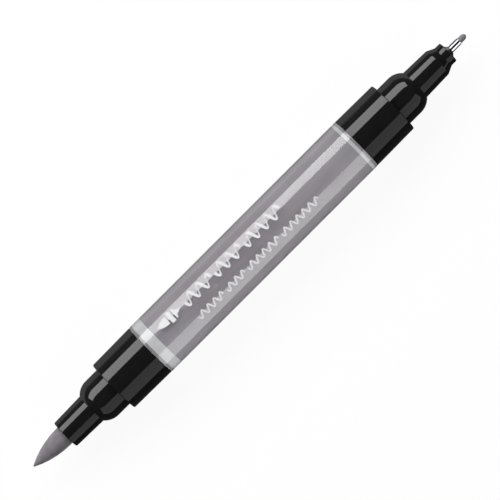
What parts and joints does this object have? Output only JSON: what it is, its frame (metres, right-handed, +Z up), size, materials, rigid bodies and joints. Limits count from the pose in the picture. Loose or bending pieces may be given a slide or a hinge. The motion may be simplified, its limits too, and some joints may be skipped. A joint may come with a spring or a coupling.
{
  "type": "felt tip marker",
  "caption": "Double-ended felt tip marker, caps off: clear barrel round an ink reservoir, black grips, a soft brush nib on one end and a metal-jacketed bullet nib on the other.",
  "frame": {"origin": "half way between the two nib tips, on the surface the marker lies on, under its axis", "axes": "+X along the marker from the brush nib to the bullet nib, +Z up, +Y completes the right-handed frame"},
  "size_m": [0.1404, 0.014, 0.014],
  "materials": {
    "clear_barrel": "gloss",
    "reservoir_fibre": "matte",
    "reservoir_film": "gloss",
    "natural_plastic": "satin",
    "black_plastic": "gloss",
    "brush_fibre": "matte",
    "bullet_fibre": "matte",
    "wick_fibre": "matte",
    "tip_steel": "polished",
    "print_white": "satin"
  },
  "bodies": {
    "root": {"barrel": "clear_barrel", "reservoir_core": "reservoir_fibre", "reservoir_film": "reservoir_film", "brush_seat_ring": "natural_plastic", "bullet_seat_ring": "natural_plastic", "brush_sleeve": "black_plastic", "bullet_sleeve": "black_plastic", "brush_front_section": "black_plastic", "bullet_front_section": "black_plastic", "brush_nib": "brush_fibre", "brush_nib_bush": "natural_plastic", "bullet_nib": "bullet_fibre", "bullet_tip_tube": "tip_steel", "bullet_tip_bush": "natural_plastic", "bullet_relay_wick": "wick_fibre"}
  },
  "joints": []
}
